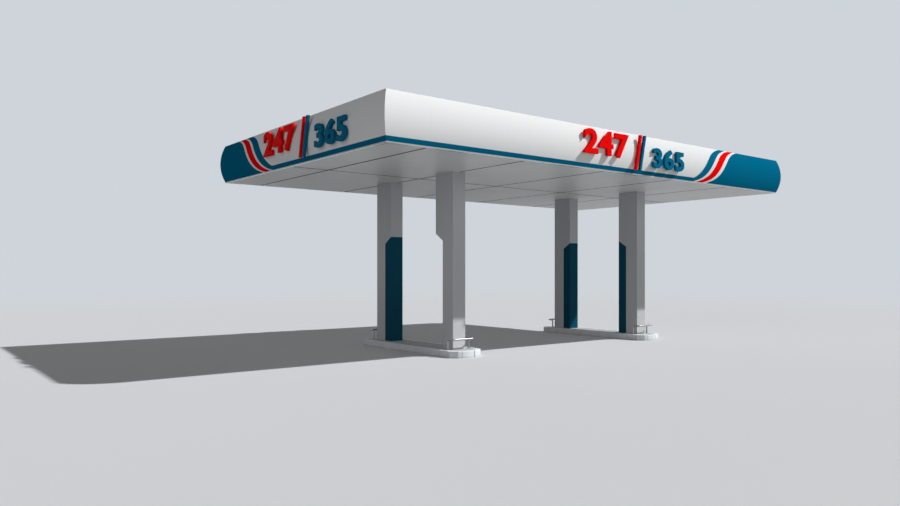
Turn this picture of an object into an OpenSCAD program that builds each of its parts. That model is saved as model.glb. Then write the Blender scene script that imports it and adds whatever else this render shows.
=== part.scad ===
// Filling station canopy on two kerbed islands.
// Millimetres, +Z up. The origin is on the ground at the middle of the plan,
// +X runs along the longer side of the roof and the front faces -Y.

/* [Roof] */
// Length of the roof between the feet of its fascias, along the longer side
roof_l = 15780; // [13500:10:18000]
// Width of the roof between the feet of its fascias, along the shorter side
roof_w = 8850; // [7600:10:10500]
// Clear height from the top of an island to the soffit
clear_h = 4740; // [4200:10:5400]
// Height of the fascia from the soffit to its top edge
fascia_h = 1100; // [950:10:1400]
// How far the middle of the fascia bulges beyond its foot
fascia_bulge = 110; // [60:5:180]
// Thickness of the fascia sheet
fascia_t = 5; // [3:1:10]
// Gap between two fascia sheets at a mitred corner
mitre_gap = 3; // [2:1:8]
// Depth of the frame behind the fascia, measured inwards from its foot
frame_d = 150; // [110:5:220]
// Legs of the angles that tie the ribs of a frame together
frame_leg = 40; // [30:5:60]
// Thickness of those angles
frame_leg_t = 5; // [3:1:8]
// Thickness of a curved rib behind the fascia
rib_t = 10; // [5:1:15]
// Thickness of the flat sheet that caps the fascia
cap_t = 3; // [2:0.5:5]
// Height of the lip that the cap turns down inside the roof
cap_lip = 40; // [20:5:80]

/* [Soffit] */
// Width of the cut tray at the left end of the soffit
end_strip = 1080; // [500:10:2000]
// Height of the turned up edges of a soffit tray
tray_h = 25; // [15:1:30]
// Thickness of the soffit sheet
tray_t = 2; // [1:0.5:4]
// Width of the recessed joint between two soffit trays
tray_gap = 60; // [30:5:90]
// Gap between the flanges that close a joint from above
joint_seam = 1; // [0.5:0.5:3]
// Gap between a soffit tray and the drip trim
edge_gap = 12; // [6:1:20]
// Clearance round a post and a rainwater pipe where they pass the soffit
hole_gap = 12; // [6:1:20]
// Width of the drip trim round the soffit
rim_w = 100; // [60:5:140]
// Thickness of the drip trim sheet
rim_t = 3; // [2:0.5:5]

/* [Columns] */
// Size of a clad column along the longer side of the roof
col_x = 420; // [380:5:520]
// Size of a clad column along the island
col_y = 760; // [740:5:900]
// Distance between the two pairs of columns, centre to centre
grid_x = 7800; // [6500:10:9000]
// Distance between the two columns of an island, centre to centre
grid_y = 2980; // [2600:10:3600]
// Thickness of the column cladding
clad_t = 3; // [2:0.5:5]
// Depth of the notch on the side that faces the other column
notch_d = 310; // [240:5:330]
// Height of the notch above the island at its mouth
notch_high = 3110; // [2700:10:3400]
// Height of the notch above the island at its back
notch_low = 2910; // [2400:10:3050]
// Clearance round the coloured insert of a notch
insert_gap = 2; // [1:0.5:5]

/* [Posts] */
// Width of the square steel post inside a column
post_s = 250; // [180:5:265]
// Wall of the steel post
post_t = 8; // [5:1:16]
// Thickness of the base and head plates
plate_t = 20; // [12:1:30]
// Gap between a base plate and the cladding beside it
plate_gap = 12; // [8:1:20]
// Clearance from the post to the outer face of the cladding
post_edge = 45; // [30:5:60]

/* [Roof steel] */
// Depth of a main girder
girder_h = 360; // [270:10:450]
// Width of the flanges of a main girder
girder_w = 200; // [150:10:240]
// Thickness of the girder flanges
girder_flange = 15; // [8:1:24]
// Thickness of the girder web
girder_web = 9; // [6:1:16]
// Thickness of the stiffeners over a post and of the end plates of a girder
girder_plate = 12; // [6:1:20]
// Depth of a cross beam
cross_h = 160; // [120:10:220]
// Width of the flanges of a cross beam
cross_w = 82; // [64:2:120]
// Thickness of the cross beam flanges
cross_flange = 8; // [5:1:12]
// Thickness of the cross beam web
cross_web = 6; // [4:1:10]
// Distance from a column line to the cross beam beside it
cross_off = 650; // [450:10:900]
// Height of a purlin
purlin_h = 80; // [60:5:120]
// Width of a purlin
purlin_w = 50; // [40:5:80]
// Wall of a purlin
purlin_t = 3; // [2:0.5:5]
// Width of a strap that hangs a soffit rail from a cross beam
strap_w = 40; // [20:5:60]
// Thickness of a strap
strap_t = 4; // [3:1:8]
// Height of a soffit rail
rail_h = 35; // [25:1:60]
// Width of a soffit rail
rail_w = 60; // [40:5:100]
// Wall of a soffit rail
rail_t = 2; // [1.5:0.5:4]

/* [Roof deck] */
// Height of the ribs of the roof sheet
deck_rib_h = 45; // [30:1:70]
// Distance from rib to rib
deck_pitch = 250; // [180:10:400]
// Width of a rib at its top
deck_rib_top = 60; // [40:5:100]
// Width of a rib at its foot
deck_rib_foot = 110; // [80:5:160]
// Thickness of the roof sheet
deck_t = 1.5; // [1:0.5:3]
// Width of the gutter along the middle of the roof
gutter_w = 300; // [200:10:420]
// How far the roof sheet reaches over the gutter
gutter_lap = 40; // [20:5:80]
// Depth of the gutter
gutter_d = 75; // [50:5:110]
// Thickness of the gutter sheet
gutter_t = 2; // [1.5:0.5:4]
// Outer diameter of a rainwater pipe
pipe_d = 110; // [75:5:120]
// Wall of a rainwater pipe
pipe_t = 3; // [2:0.5:5]
// Bend radius of a rainwater pipe at its middle line
pipe_bend = 120; // [90:5:160]

/* [Islands] */
// Height of an island above the ground
island_h = 180; // [120:5:260]
// Width of an island
island_w = 1080; // [960:10:1300]
// How far an island reaches past a column at each end
apron = 490; // [400:10:800]
// Thickness of the kerb round an island
kerb_t = 110; // [80:5:160]
// Width that is cut off each corner of an island, at 45 degrees
island_corner = 170; // [120:5:240]
// Radius of the bowed ends of an island
island_bow = 950; // [700:10:1600]
// Joint between the kerb and the deck of an island
kerb_joint = 0.5; // [0.5:0.5:5]

/* [Guards] */
// Height of a guard hoop to the middle of its bar
guard_h = 280; // [220:5:450]
// Diameter of the guard tube
guard_d = 48; // [38:1:60]
// Distance between the two posts of a guard
guard_span = 720; // [680:5:740]
// How far the posts of a guard stand behind the outer face of their column
guard_back = 40; // [0:5:80]
// How far the bar of a guard runs in front of its posts
guard_reach = 225; // [225:5:300]
// Bend radius of the guard tube
guard_bend = 75; // [60:5:110]
// Diameter of the foot plate of a guard post
guard_plate_d = 110; // [90:2:130]
// Thickness of the foot plate of a guard post
guard_plate_t = 8; // [5:1:12]

/* [Hidden] */
$fn = 64;
// A cut reaches this far past the face that it goes through
eps = 1;
// Clearance of a curved sheet from what carries it
seat = 0.3;
// Height of the underside of the soffit above the ground
soffit_z = island_h + clear_h;
// Underside of the soffit rails, and of the fascia frames
rail_z = soffit_z + tray_h;
girder_z = rail_z + rail_h;
cross_z = girder_z + girder_h;
purlin_z = cross_z + cross_h;
deck_z = purlin_z + purlin_h;
top_z = soffit_z + fascia_h;

// Half sizes of the roof at the feet of the fascias
half_l = roof_l / 2;
half_w = roof_w / 2;

// The fascia is an arc through its foot and its top edge
fascia_foot = rail_z;
fascia_chord = top_z - fascia_foot;
fascia_r = (pow(fascia_chord / 2, 2) + pow(fascia_bulge, 2)) / (2 * fascia_bulge);
fascia_mid = (fascia_foot + top_z) / 2;

// What a mitre takes from a sheet along its own side
sheet_mitre = mitre_gap / sqrt(2);

// Five whole bays and a cut strip make the length of the soffit
whole_bays = 5;
bay_l = (roof_l - end_strip) / whole_bays;

// Outer edges of the soffit trays, and how far their flanges reach into a joint
tray_x = half_l - rim_w - edge_gap;
tray_y = half_w - rim_w - edge_gap;
tray_flange = (tray_gap - joint_seam) / 2;

// Length of an island, and the middle of its bowed end
island_l = grid_y + col_y + 2 * apron;

// The steel post stands on the side of a column that has no notch
post_y = grid_y / 2 + col_y / 2 - post_edge - post_s / 2;
// The rainwater pipe runs between the post and the notch
pipe_y = (post_y - post_s / 2 + grid_y / 2 - col_y / 2 + notch_d) / 2;
pipe_z = (girder_z + cross_z) / 2;

// Inner face of the fascia frames, where the roof steel ends
steel_x = half_l - frame_d;
steel_y = half_w - frame_d;

// Cross beams stand beside the column lines, with others between them
cross_inner = grid_x / 2 - cross_off;
cross_outer = grid_x / 2 + cross_off;
cross_last = steel_x - cross_w / 2;
cross_at = concat(
    [for (i = [-2 : 2]) i * cross_inner / 2],
    [for (side = [-1, 1], i = [0 : 2]) side * (cross_outer + i * (cross_last - cross_outer) / 2)]);

// Purlins stand at both edges of the gutter and out to the frames
purlin_first = gutter_w / 2 + purlin_w / 2;
purlin_last = steel_y - purlin_w / 2;
purlin_at = [for (side = [-1, 1], i = [0 : 3]) side * (purlin_first + i * (purlin_last - purlin_first) / 3)];

// Straps hang the soffit rails at the middle of the roof and near both frames
strap_at = [-1, 0, 1] * (steel_y + post_y) / 2;

// Plan of an island: straight sides, cut corners and bowed ends, drawn inset by d
module island_plan(d) {
    w = island_w - 2 * d;
    bow = island_bow - d;
    bow_y = island_l / 2 - island_bow;
    // A cut starts where the outline's bow has lost its width, and lies on a line x + y = reach
    cut_x = island_w / 2 - island_corner;
    reach = cut_x + sqrt(pow(island_bow, 2) - pow(cut_x, 2)) - d * sqrt(2);
    spread = sqrt(2 * pow(bow, 2) - pow(reach, 2));
    // Where it meets the bow, and where it meets the straight side
    tx = (reach - spread) / 2;
    ty = bow_y + (reach + spread) / 2;
    side_y = bow_y + reach - w / 2;
    polygon([[-w / 2, -side_y], [-tx, -ty], [tx, -ty], [w / 2, -side_y],
             [w / 2, side_y], [tx, ty], [-tx, ty], [-w / 2, side_y]]);
    for (sy = [0, 1])
        mirror([0, sy]) intersection() {
            translate([0, bow_y]) circle(r = bow);
            polygon([[-tx, ty], [tx, ty], [tx, island_l], [-tx, island_l]]);
        }
}

module island_kerb(x) {
    color("silver") translate([x, 0, 0]) linear_extrude(island_h) difference() {
        island_plan(0);
        island_plan(kerb_t);
    }
}

module island_deck(x) {
    color("gainsboro") translate([x, 0, 0]) linear_extrude(island_h)
        island_plan(kerb_t + kerb_joint);
}

// A hoop of bent tube: two posts that turn forwards, joined by a straight bar
module guard_hoop() {
    half = guard_span / 2;
    color("lightgray") {
        for (side = [0, 1]) mirror([side, 0, 0]) translate([half, 0, 0]) {
            cylinder(h = guard_h - guard_bend, d = guard_d);
            cylinder(h = guard_plate_t, d = guard_plate_d);
            // Bend from upright to forwards
            translate([0, -guard_bend, guard_h - guard_bend]) rotate([90, 0, 90])
                rotate_extrude(angle = 90) translate([guard_bend, 0]) circle(d = guard_d);
            translate([0, -guard_bend, guard_h]) rotate([90, 0, 0])
                cylinder(h = guard_reach - 2 * guard_bend, d = guard_d);
            // Bend from forwards into the bar
            translate([-guard_bend, guard_bend - guard_reach, guard_h]) rotate([0, 0, -90])
                rotate_extrude(angle = 90) translate([guard_bend, 0]) circle(d = guard_d);
        }
        translate([guard_bend - half, -guard_reach, guard_h]) rotate([0, 90, 0])
            cylinder(h = guard_span - 2 * guard_bend, d = guard_d);
    }
}

// Guard at one end of an island: end is -1 for the front and 1 for the back
module guard(x, end) {
    translate([x, end * (grid_y / 2 + col_y / 2 - guard_back), island_h])
        rotate([0, 0, end > 0 ? 180 : 0]) guard_hoop();
}

// Steel post with its base and head plates
module post(x, end) {
    color("dimgray") translate([x, end * post_y, 0]) {
        translate([0, 0, island_h + plate_t]) linear_extrude(girder_z - island_h - 2 * plate_t)
            difference() {
                square(post_s, center = true);
                square(post_s - 2 * post_t, center = true);
            }
        for (z = [island_h, girder_z - plate_t])
            translate([0, 0, z + plate_t / 2])
                cube([col_x - 2 * clad_t - 2 * plate_gap, post_s + 2 * plate_t, plate_t], center = true);
    }
}

// Side view of a column, inset by d, as points along the island and up; the notch is at the far side
function column_side(d, low, high) =
    let (slope = (notch_high - notch_low) / notch_d,
         lift = d * sqrt(1 + slope * slope) - d * slope,
         back = col_y - notch_d)
    [[d, low], [back - d, low],
     [back - d, island_h + notch_low + lift], [col_y - d, island_h + notch_high + lift],
     [col_y - d, high], [d, high]];

// Draws a shape given along the island and up as a solid of width w
module across(w) {
    translate([-w / 2, 0, 0]) rotate([90, 0, 90]) linear_extrude(w) children();
}

// Places a column's own frame: 0 is its outer face and the notch looks at the other column
module column_place(x, end) {
    translate([x, end * (grid_y / 2 + col_y / 2), 0]) mirror([0, end > 0 ? 1 : 0, 0]) children();
}

// Sheet cladding of a column, open at its foot and head
module cladding(x, end) {
    color("darkgray") column_place(x, end) difference() {
        across(col_x) polygon(column_side(0, island_h, soffit_z));
        across(col_x - 2 * clad_t) polygon(column_side(clad_t, island_h - eps, soffit_z + eps));
    }
}

// Side view of an insert, inset by d, as points along the island and up
function insert_side(d, low) =
    let (slope = (notch_high - notch_low) / notch_d,
         gap = insert_gap + d,
         drop = gap * sqrt(1 + slope * slope),
         back = col_y - notch_d)
    [[back + gap, low], [col_y - d, low],
     [col_y - d, island_h + notch_high - d * slope - drop],
     [back + gap, island_h + notch_low + gap * slope - drop]];

// Folded coloured insert that closes the notch, open at its foot
module insert(x, end) {
    color("darkslategray") column_place(x, end) difference() {
        across(col_x) polygon(insert_side(0, island_h));
        across(col_x - 2 * clad_t) polygon(insert_side(clad_t, island_h - eps));
    }
}

// Section of a rolled beam that stands on its flange
module beam_section(h, w, flange, web) {
    translate([-w / 2, 0]) square([w, flange]);
    translate([-w / 2, h - flange]) square([w, flange]);
    translate([-web / 2, 0]) square([web, h]);
}

// Draws a section given across and up as a solid along the longer side
module along_x(length) {
    translate([-length / 2, 0, 0]) rotate([90, 0, 90]) linear_extrude(length) children();
}

// Draws a section given across and up as a solid along the shorter side
module along_y(length) {
    translate([0, length / 2, 0]) rotate([90, 0, 0]) linear_extrude(length) children();
}

// Main girder, with stiffeners over the walls of its posts and a plate at each end
module girder(end) {
    color("slategray") translate([0, end * post_y, girder_z]) {
        along_x(2 * steel_x) beam_section(girder_h, girder_w, girder_flange, girder_web);
        for (post = [-1, 1], wall = [-1, 1])
            translate([post * grid_x / 2 + wall * (post_s - post_t) / 2, 0, 0]) girder_cross_plate();
        for (side = [-1, 1]) translate([side * (steel_x - girder_plate / 2), 0, 0]) girder_cross_plate();
    }
}

module girder_cross_plate() {
    translate([-girder_plate / 2, -girder_w / 2, 0]) cube([girder_plate, girder_w, girder_h]);
}

module cross_beams() {
    color("slategray") for (x = cross_at) translate([x, 0, cross_z]) along_y(2 * steel_y)
        beam_section(cross_h, cross_w, cross_flange, cross_web);
}

module purlins() {
    color("lightslategray") for (y = purlin_at) translate([0, y, purlin_z]) along_x(2 * steel_x)
        difference() {
            translate([-purlin_w / 2, 0]) square([purlin_w, purlin_h]);
            translate([purlin_t - purlin_w / 2, purlin_t])
                square([purlin_w - 2 * purlin_t, purlin_h - 2 * purlin_t]);
        }
}

// Rails under the cross beams, bolted to the girders and hung on straps
module soffit_rails() {
    color("lightslategray") for (x = cross_at) translate([x, 0, rail_z]) {
        along_y(2 * steel_y) difference() {
            translate([-rail_w / 2, 0]) square([rail_w, rail_h]);
            translate([rail_t - rail_w / 2, rail_t])
                square([rail_w - 2 * rail_t, rail_h - 2 * rail_t]);
        }
        for (y = strap_at) translate([-strap_t / 2, y - strap_w / 2, rail_h])
            cube([strap_t, strap_w, cross_z - girder_z]);
    }
}

// Holes of the soffit, hidden by the cladding, for a post and the rainwater pipe beside it
module soffit_holes() {
    near = pipe_y - pipe_d / 2 - hole_gap;
    far = post_y + post_s / 2 + hole_gap;
    for (sx = [-1, 1], sy = [0, 1]) mirror([0, sy]) translate([sx * grid_x / 2, (near + far) / 2])
        square([post_s + 2 * hole_gap, far - near], center = true);
}

// Two trays between x0 and x1, either side of the joint along the middle of the roof.
// Their turned up edges end in a flange that closes the joint and is screwed up to the rails.
module soffit_trays(x0, x1) {
    y0 = tray_gap / 2;
    left = max(x0 - tray_flange, -tray_x);
    right = min(x1 + tray_flange, tray_x);
    color("whitesmoke") for (side = [0, 1]) mirror([0, side, 0]) difference() {
        union() {
            translate([x0, y0, soffit_z]) cube([x1 - x0, tray_y - y0, tray_h]);
            translate([left, y0 - tray_flange, rail_z - tray_t])
                cube([right - left, tray_y - y0 + tray_flange, tray_t]);
        }
        translate([x0 + tray_t, y0 + tray_t, soffit_z + tray_t])
            cube([x1 - x0 - 2 * tray_t, tray_y - y0 - 2 * tray_t, tray_h]);
        translate([0, 0, soffit_z - eps]) linear_extrude(tray_h + 2 * eps) soffit_holes();
    }
}

// Whole bay number i, counted from the right end
module soffit_bay(i) {
    joint = half_l - i * bay_l;
    soffit_trays(joint + tray_gap / 2, min(joint + bay_l - tray_gap / 2, tray_x));
}

module soffit_strip() {
    soffit_trays(-tray_x, end_strip - half_l - tray_gap / 2);
}

// Plan of one side of the roof between its two mitres, for a side of length l on -Y
module side_plan(l, w, gap) {
    reach = fascia_bulge + eps;
    polygon([[-l / 2 - reach + gap, -w / 2 - reach], [l / 2 + reach - gap, -w / 2 - reach],
             [l / 2 - w / 4 - gap, -w / 4], [w / 4 - l / 2 + gap, -w / 4]]);
}

// Keeps what lies between the mitres of a side
module between_mitres(l, w, gap) {
    intersection() {
        children();
        translate([0, 0, soffit_z - eps]) linear_extrude(fascia_h + cap_t + 2 * eps)
            side_plan(l, w, gap);
    }
}

// Circle that the fascia follows, given outwards from its foot and up, inset by d
module fascia_circle(d) {
    translate([fascia_r - fascia_bulge, fascia_mid]) circle(r = fascia_r - d, $fn = 96);
}

// Draws a shape given inwards from the foot of a fascia and up, for a side of length l
module side_sweep(l, w) {
    translate([l / 2 + fascia_bulge + eps, -w / 2, 0]) rotate([90, 0, -90])
        mirror([1, 0]) linear_extrude(l + 2 * fascia_bulge + 2 * eps) children();
}

// Lengths of one section on all four sides, mitred at the corners
module round_the_roof() {
    for (turn = [0, 180]) rotate([0, 0, turn])
        between_mitres(roof_l, roof_w, sheet_mitre) side_sweep(roof_l, roof_w) children();
    for (turn = [-90, 90]) rotate([0, 0, turn])
        between_mitres(roof_w, roof_l, sheet_mitre) side_sweep(roof_w, roof_l) children();
}

// Folded trim that closes the foot of the fascia and frames the soffit
module drip_trim() {
    color("white") round_the_roof() translate([0, soffit_z]) difference() {
        square([rim_w, tray_h]);
        translate([rim_t, rim_t]) square([rim_w - 2 * rim_t, tray_h]);
    }
}

// Sheet over a fascia and its frame, with a lip turned down inside the roof
module cap_flashing() {
    color("whitesmoke") round_the_roof() {
        translate([0, top_z]) square([frame_d + cap_t, cap_t]);
        translate([frame_d, top_z - cap_lip]) square([cap_t, cap_lip + cap_t]);
    }
}

// Curved sheet of one side
module fascia_sheet(l, w) {
    between_mitres(l, w, sheet_mitre) side_sweep(l, w) difference() {
        intersection() {
            fascia_circle(0);
            translate([-fascia_bulge - eps, fascia_foot])
                square([fascia_bulge + eps + frame_d / 2, fascia_chord]);
        }
        fascia_circle(fascia_t);
    }
}

// Angle that runs behind the fascia, with its legs at the top and at the inner side
module frame_angle(z) {
    translate([frame_d - frame_leg, z - frame_leg]) difference() {
        square(frame_leg);
        translate([-eps, -eps]) square(frame_leg - frame_leg_t + eps);
    }
}

// Ribs and angles behind the fascia of one side; ribs stand where the roof steel ends
module fascia_frame(l, w, ribs_at) {
    color("gray") between_mitres(l, w, mitre_gap) {
        side_sweep(l, w) {
            // One angle under the cap, one above the roof sheet
            frame_angle(top_z);
            frame_angle(deck_z + deck_rib_h + frame_leg);
            // Foot rail at the level of the soffit rails, open at its top
            difference() {
                translate([rim_t, rail_z]) square([frame_d - rim_t, rail_h]);
                translate([0, rail_z + frame_leg_t]) square([frame_d - frame_leg_t, rail_h]);
            }
        }
        for (x = ribs_at) translate([x + rib_t / 2, -w / 2, 0]) rotate([90, 0, -90]) mirror([1, 0])
            linear_extrude(rib_t) intersection() {
                fascia_circle(fascia_t + seat);
                translate([-fascia_bulge, rail_z]) square([fascia_bulge + frame_d, top_z - rail_z]);
            }
    }
}

module fascia_front() { color("white") fascia_sheet(roof_l, roof_w); }
module fascia_back() { color("white") rotate([0, 0, 180]) fascia_sheet(roof_l, roof_w); }
module fascia_left() { color("white") rotate([0, 0, -90]) fascia_sheet(roof_w, roof_l); }
module fascia_right() { color("white") rotate([0, 0, 90]) fascia_sheet(roof_w, roof_l); }

// The long frames have ribs at the cross beams, the short ones at the purlins and girders
end_ribs = concat(purlin_at, [-post_y, post_y]);
module frame_front() { fascia_frame(roof_l, roof_w, cross_at); }
module frame_back() { rotate([0, 0, 180]) fascia_frame(roof_l, roof_w, cross_at); }
module frame_left() { rotate([0, 0, -90]) fascia_frame(roof_w, roof_l, end_ribs); }
module frame_right() { rotate([0, 0, 90]) fascia_frame(roof_w, roof_l, end_ribs); }

// Outline of one half of the ribbed roof sheet, seen from the end of its ribs
function deck_line(n, lift) =
    [for (i = [0 : n - 1], p = [[-deck_rib_foot / 2, 0], [-deck_rib_top / 2, deck_rib_h],
                                [deck_rib_top / 2, deck_rib_h], [deck_rib_foot / 2, 0]])
        [(i - (n - 1) / 2) * deck_pitch + p[0], p[1] + lift]];
function reversed(list) = [for (i = [len(list) - 1 : -1 : 0]) list[i]];

// Ribbed sheet from the gutter to the back of the fascia frame
module deck(end) {
    edge = steel_x - seat;
    n = floor((2 * edge - deck_rib_foot - 2 * deck_t) / deck_pitch) + 1;
    start = gutter_w / 2 - gutter_lap;
    color("gainsboro") mirror([0, end > 0 ? 0 : 1, 0])
        translate([0, steel_y - seat, deck_z]) rotate([90, 0, 0]) linear_extrude(steel_y - seat - start)
            polygon(concat([[-edge, 0]], deck_line(n, 0), [[edge, 0], [edge, deck_t]],
                           reversed(deck_line(n, deck_t)), [[-edge, deck_t]]));
}

// Trough along the middle of the roof, with an outlet over each rainwater pipe
module gutter() {
    color("lightgray") translate([0, 0, purlin_z]) difference() {
        translate([-steel_x, -gutter_w / 2, 0]) cube([2 * steel_x, gutter_w, gutter_d]);
        translate([gutter_t - steel_x, gutter_t - gutter_w / 2, gutter_t])
            cube([2 * (steel_x - gutter_t), gutter_w - 2 * gutter_t, gutter_d]);
        for (side = [-1, 1]) translate([side * grid_x / 2, 0, -eps])
            cylinder(h = gutter_t + 2 * eps, d = pipe_d - 2 * pipe_t);
    }
}

// Wall of a pipe seen end on
module pipe_section() {
    difference() {
        circle(d = pipe_d);
        circle(d = pipe_d - 2 * pipe_t);
    }
}

// Quarter bend of a pipe in the upright plane across the roof, from the angle start
module pipe_elbow(start) {
    rotate([90, 0, 90]) rotate([0, 0, start]) rotate_extrude(angle = 90)
        translate([pipe_bend, 0]) pipe_section();
}

// Rainwater pipe from the gutter, under the cross beams, to the foot of the back column
module downpipe(x) {
    color("lightgray") translate([x, 0, 0]) {
        translate([0, 0, pipe_z + pipe_bend])
            linear_extrude(purlin_z - pipe_z - pipe_bend) pipe_section();
        translate([0, pipe_bend, pipe_z + pipe_bend]) pipe_elbow(180);
        translate([0, pipe_bend, pipe_z]) rotate([-90, 0, 0])
            linear_extrude(pipe_y - 2 * pipe_bend) pipe_section();
        translate([0, pipe_y - pipe_bend, pipe_z - pipe_bend]) pipe_elbow(0);
        translate([0, pipe_y, island_h]) linear_extrude(pipe_z - pipe_bend - island_h) pipe_section();
    }
}

left = -grid_x / 2;
right = grid_x / 2;
island_kerb(left);  // island_left_kerb
island_deck(left);  // island_left_deck
island_kerb(right);  // island_right_kerb
island_deck(right);  // island_right_deck
guard(left, -1);  // guard_left_front
guard(left, 1);  // guard_left_back
guard(right, -1);  // guard_right_front
guard(right, 1);  // guard_right_back
post(left, -1);  // post_left_front
post(left, 1);  // post_left_back
post(right, -1);  // post_right_front
post(right, 1);  // post_right_back
cladding(left, -1);  // cladding_left_front
cladding(left, 1);  // cladding_left_back
cladding(right, -1);  // cladding_right_front
cladding(right, 1);  // cladding_right_back
insert(left, 1);  // insert_left_back
insert(right, -1);  // insert_right_front
insert(right, 1);  // insert_right_back
girder(-1);  // girder_front
girder(1);  // girder_back
cross_beams();
purlins();
soffit_rails();
soffit_bay(1);  // soffit_bay_1
soffit_bay(2);  // soffit_bay_2
soffit_bay(3);  // soffit_bay_3
soffit_bay(4);  // soffit_bay_4
soffit_bay(5);  // soffit_bay_5
soffit_strip();
drip_trim();
frame_front();
frame_back();
frame_left();
frame_right();
fascia_front();
fascia_back();
fascia_left();
fascia_right();
cap_flashing();
deck(-1);  // deck_front
deck(1);  // deck_back
gutter();
downpipe(left);  // downpipe_left
downpipe(right);  // downpipe_right
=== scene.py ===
"""Filling station canopy: its finishes, painted bands, kerb stones, numerals and fixings.

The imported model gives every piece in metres. Each class below dresses one sub-assembly of the canopy:
it keeps its own sizes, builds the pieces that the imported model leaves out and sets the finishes.
"""
import logging
import math
import random
from collections.abc import Iterable, Sequence
from dataclasses import dataclass
from enum import Enum
from typing import ClassVar

import bmesh
import bpy
from mathutils import Matrix, Vector
from mathutils.bvhtree import BVHTree


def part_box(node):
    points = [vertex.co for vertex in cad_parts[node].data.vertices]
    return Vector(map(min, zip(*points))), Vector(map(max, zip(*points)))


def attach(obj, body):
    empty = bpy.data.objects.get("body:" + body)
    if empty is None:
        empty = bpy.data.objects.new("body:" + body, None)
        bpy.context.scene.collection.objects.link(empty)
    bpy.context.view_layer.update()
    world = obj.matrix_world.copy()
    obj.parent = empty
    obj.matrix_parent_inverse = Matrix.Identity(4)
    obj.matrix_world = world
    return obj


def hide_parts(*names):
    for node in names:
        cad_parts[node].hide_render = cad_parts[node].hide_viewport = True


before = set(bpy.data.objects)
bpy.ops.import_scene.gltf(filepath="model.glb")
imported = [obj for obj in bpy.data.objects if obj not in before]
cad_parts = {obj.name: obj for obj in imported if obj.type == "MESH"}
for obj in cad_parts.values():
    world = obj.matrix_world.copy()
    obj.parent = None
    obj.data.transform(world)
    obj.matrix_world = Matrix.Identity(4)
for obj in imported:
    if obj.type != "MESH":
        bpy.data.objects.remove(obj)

LOG = logging.getLogger("canopy")
BODY = "root"
CORNERS = ("left_front", "left_back", "right_front", "right_back")
UP = Vector((0.0, 0.0, 1.0))
RIGHT = Vector((1.0, 0.0, 0.0))
NEAR = 0.0005

Color = tuple[float, float, float]
Material = bpy.types.Material
Socket = bpy.types.NodeSocket
Feed = Socket | float | int | tuple[float, ...]
Outline = list[tuple[Vector, Vector]]


def tone(red: int, green: int, blue: int) -> Color:
    """Returns the linear colour that a shader takes for one as it is seen, with parts from 0 to 255."""
    return tuple(v / 255 / 12.92 if v <= 10 else ((v / 255 + 0.055) / 1.055) ** 2.4
                 for v in (red, green, blue))


class Graph:
    """A node tree that is being built, with short ways to add nodes and join them."""

    def __init__(self, tree: bpy.types.NodeTree) -> None:
        """Takes a tree and empties it."""
        self.tree = tree
        tree.nodes.clear()

    def feed(self, socket: Socket, value: Feed) -> None:
        """Joins a socket to another one, or sets its value.

        Args:
            socket: The input.
            value: The output that feeds it, or the value that it keeps.
        """
        if isinstance(value, bpy.types.NodeSocket):
            self.tree.links.new(value, socket)
        elif socket.type == "RGBA":
            socket.default_value = (*value, 1.0)
        else:
            socket.default_value = value

    def add(self, kind: str, inputs: dict[str | int, Feed] | None = None,
            **settings: object) -> bpy.types.Node:
        """Adds a node.

        Args:
            kind: The node's type.
            inputs: What feeds its inputs, by name or number.
            settings: The node's own settings.

        Returns:
            The node.
        """
        node = self.tree.nodes.new(kind)
        for name, value in settings.items():
            setattr(node, name, value)
        for key, value in (inputs or {}).items():
            self.feed(node.inputs[key], value)
        return node

    def math(self, operation: str, *values: Feed, clamp: bool = False) -> Socket:
        """Adds a Math node, which can keep its result between 0 and 1, and returns its output."""
        node = self.add("ShaderNodeMath", dict(enumerate(values)), operation=operation, use_clamp=clamp)
        return node.outputs[0]

    def blend(self, factor: Feed, first: Feed, second: Feed) -> Socket:
        """Mixes two colours: a factor of 0 gives the first one and 1 the second."""
        return self.add("ShaderNodeMix", {0: factor, 6: first, 7: second}, data_type="RGBA").outputs[2]

    def cover(self, mask: Feed, amount: Feed, under: Feed, over: Feed) -> Socket:
        """Lays a colour over another one by some amount, where a mask shows it."""
        return self.blend(self.math("MULTIPLY", mask, amount), under, over)

    def spread(self, value: Feed, low: float, high: float, start: float = 0.0, end: float = 1.0) -> Socket:
        """Maps a value from low to high onto start to end, and keeps it there."""
        return self.add("ShaderNodeMapRange", {0: value, 1: low, 2: high, 3: start, 4: end}).outputs[0]

    def place(self) -> Socket:
        """Returns the place on the object, in metres."""
        return self.add("ShaderNodeTexCoord").outputs["Object"]

    def height(self, place: Socket) -> Socket:
        """Returns the height of a place."""
        return self.add("ShaderNodeSeparateXYZ", {0: place}).outputs[2]

    def along(self, place: Socket, direction: Vector) -> Socket:
        """Returns how far a place lies in a direction."""
        inputs = {0: place, 1: tuple(direction)}
        return self.add("ShaderNodeVectorMath", inputs, operation="DOT_PRODUCT").outputs["Value"]

    def noise(self, vector: Socket, scale: Feed, detail: float, roughness: float) -> Socket:
        """Adds a Noise texture with some waves for each metre, and returns its value."""
        inputs = {"Vector": vector, "Scale": scale, "Detail": detail, "Roughness": roughness}
        return self.add("ShaderNodeTexNoise", inputs).outputs[0]

    def effect(self, kind: "Effect", place: Socket, **numbers: Feed) -> Socket:
        """Places a shared effect, with what feeds its named inputs, and returns its mask."""
        return self.add("ShaderNodeGroup", {0: place, **numbers}, node_tree=EFFECTS.tree(kind)).outputs[0]

    def bump(self, height: Socket, depth: float) -> Socket:
        """Turns a height from 0 to 1 into a normal, where 1 is as deep as given, in metres."""
        return self.add("ShaderNodeBump", {"Height": height, "Distance": depth, "Strength": 1.0}).outputs[0]

    def end(self, kind: str, shader: bpy.types.Node) -> None:
        """Ends a tree with a shader in an output of some kind."""
        self.add(kind, {0: shader.outputs[0]})


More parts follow.
